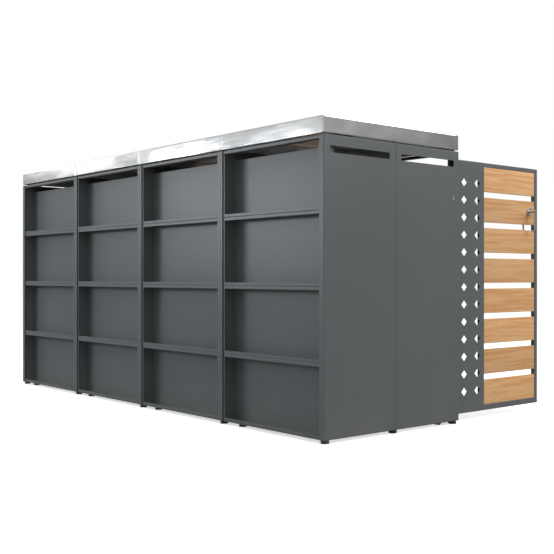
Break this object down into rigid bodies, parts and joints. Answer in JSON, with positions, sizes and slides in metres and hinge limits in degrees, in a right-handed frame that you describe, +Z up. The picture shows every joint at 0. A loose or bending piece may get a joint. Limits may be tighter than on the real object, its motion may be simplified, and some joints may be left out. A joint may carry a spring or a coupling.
{
  "type": "recycling bin station",
  "caption": "Enclosed steel station for wheeled recycling bins: hinged stainless lids, slatted timber doors with diamond cut-outs, panelled rear wall.",
  "frame": {"origin": "on the floor under the middle of the middle partition, at the centre of the enclosure's footprint", "axes": "+X along the front with bay 1 at the -X end; doors face -Y; +Z up; door 1 stands open at rest, the others and all lids are shut"},
  "size_m": [2.7765, 1.5035, 1.315],
  "materials": {
    "anthracite": "fine-textured powder coat, satin",
    "stainless": "polished stainless sheet",
    "timber": "oiled, horizontal grain",
    "handle_steel": "satin stainless",
    "zinc_steel": "zinc plated",
    "foot_plastic": "moulded black",
    "rubber": "matt"
  },
  "bodies": {
    "root": {"door_buffers": "rubber", "door_hinge_pins": "zinc_steel", "door_hinge_posts": "anthracite", "end_wall_left_front": "anthracite", "end_wall_left_rear": "anthracite", "end_wall_plugs": "zinc_steel", "end_wall_right_front": "anthracite", "end_wall_right_rear": "anthracite", "foot_pads": "foot_plastic", "foot_screws": "zinc_steel", "front_frame_1": "anthracite", "front_frame_2": "anthracite", "front_frame_3": "anthracite", "front_frame_4": "anthracite", "join_bolts": "zinc_steel", "lid_buffers": "rubber", "lid_hinge_brackets": "zinc_steel", "lid_hinge_pins": "zinc_steel", "partition_1": "anthracite", "partition_2": "anthracite", "partition_3": "anthracite", "rear_base_rails": "anthracite", "rear_panels_1": "anthracite", "rear_panels_2": "anthracite", "rear_panels_3": "anthracite", "rear_panels_4": "anthracite", "rear_top_rails": "anthracite", "strike_plates": "zinc_steel"},
    "door_1": {"door_1_frame": "anthracite", "door_1_slats": "timber", "door_1_hinge_leaves": "anthracite", "door_1_lock_case": "zinc_steel", "door_1_roses": "handle_steel"},
    "handle_1": {"door_1_handle": "handle_steel"},
    "latch_1": {"door_1_latch": "zinc_steel"},
    "lid_1": {"lid_1": "stainless"},
    "door_2": {"door_2_frame": "anthracite", "door_2_slats": "timber", "door_2_hinge_leaves": "anthracite", "door_2_lock_case": "zinc_steel", "door_2_roses": "handle_steel"},
    "handle_2": {"door_2_handle": "handle_steel"},
    "latch_2": {"door_2_latch": "zinc_steel"},
    "lid_2": {"lid_2": "stainless"},
    "door_3": {"door_3_frame": "anthracite", "door_3_slats": "timber", "door_3_hinge_leaves": "anthracite", "door_3_lock_case": "zinc_steel", "door_3_roses": "handle_steel"},
    "handle_3": {"door_3_handle": "handle_steel"},
    "latch_3": {"door_3_latch": "zinc_steel"},
    "lid_3": {"lid_3": "stainless"},
    "door_4": {"door_4_frame": "anthracite", "door_4_slats": "timber", "door_4_hinge_leaves": "anthracite", "door_4_lock_case": "zinc_steel", "door_4_roses": "handle_steel"},
    "handle_4": {"door_4_handle": "handle_steel"},
    "latch_4": {"door_4_latch": "zinc_steel"},
    "lid_4": {"lid_4": "stainless"}
  },
  "joints": [
    {"name": "door_1_hinge", "type": "hinge", "parent": "root", "child": "door_1", "pos_m": [-1.366, -0.43, 0.6], "axis": [0, 0, -1], "range_deg": [-90, 10]},
    {"name": "handle_1_turn", "type": "hinge", "parent": "door_1", "child": "handle_1", "pos_m": [-1.356, -1.005, 0.9925], "axis": [1, 0, 0], "range_deg": [0, 60], "stiffness_Nm_per_rad": 0.5},
    {"name": "latch_1_slide", "type": "slide", "parent": "door_1", "child": "latch_1", "axis": [0, 1, 0], "range_m": [0, 0.0105]},
    {"name": "lid_1_hinge", "type": "hinge", "parent": "root", "child": "lid_1", "pos_m": [-1.038, 0.4085, 1.2575], "axis": [-1, 0, 0], "range_deg": [0, 75]},
    {"name": "door_2_hinge", "type": "hinge", "parent": "root", "child": "door_2", "pos_m": [-0.674, -0.43, 0.6], "axis": [0, 0, -1], "range_deg": [0, 100]},
    {"name": "handle_2_turn", "type": "hinge", "parent": "door_2", "child": "handle_2", "pos_m": [-0.099, -0.42, 0.9925], "axis": [0, 1, 0], "range_deg": [0, 60], "stiffness_Nm_per_rad": 0.5},
    {"name": "latch_2_slide", "type": "slide", "parent": "door_2", "child": "latch_2", "axis": [-1, 0, 0], "range_m": [0, 0.0105]},
    {"name": "lid_2_hinge", "type": "hinge", "parent": "root", "child": "lid_2", "pos_m": [-0.346, 0.4085, 1.2575], "axis": [-1, 0, 0], "range_deg": [0, 75]},
    {"name": "door_3_hinge", "type": "hinge", "parent": "root", "child": "door_3", "pos_m": [0.018, -0.43, 0.6], "axis": [0, 0, -1], "range_deg": [0, 100]},
    {"name": "handle_3_turn", "type": "hinge", "parent": "door_3", "child": "handle_3", "pos_m": [0.593, -0.42, 0.9925], "axis": [0, 1, 0], "range_deg": [0, 60], "stiffness_Nm_per_rad": 0.5},
    {"name": "latch_3_slide", "type": "slide", "parent": "door_3", "child": "latch_3", "axis": [-1, 0, 0], "range_m": [0, 0.0105]},
    {"name": "lid_3_hinge", "type": "hinge", "parent": "root", "child": "lid_3", "pos_m": [0.346, 0.4085, 1.2575], "axis": [-1, 0, 0], "range_deg": [0, 75]},
    {"name": "door_4_hinge", "type": "hinge", "parent": "root", "child": "door_4", "pos_m": [0.71, -0.43, 0.6], "axis": [0, 0, -1], "range_deg": [0, 100]},
    {"name": "handle_4_turn", "type": "hinge", "parent": "door_4", "child": "handle_4", "pos_m": [1.285, -0.42, 0.9925], "axis": [0, 1, 0], "range_deg": [0, 60], "stiffness_Nm_per_rad": 0.5},
    {"name": "latch_4_slide", "type": "slide", "parent": "door_4", "child": "latch_4", "axis": [-1, 0, 0], "range_m": [0, 0.0105]},
    {"name": "lid_4_hinge", "type": "hinge", "parent": "root", "child": "lid_4", "pos_m": [1.038, 0.4085, 1.2575], "axis": [-1, 0, 0], "range_deg": [0, 75]}
  ],
  "couplings": [
    {"joint": "latch_1_slide", "follows": "handle_1_turn", "m_per_rad": 0.01},
    {"joint": "latch_2_slide", "follows": "handle_2_turn", "m_per_rad": 0.01},
    {"joint": "latch_3_slide", "follows": "handle_3_turn", "m_per_rad": 0.01},
    {"joint": "latch_4_slide", "follows": "handle_4_turn", "m_per_rad": 0.01}
  ]
}
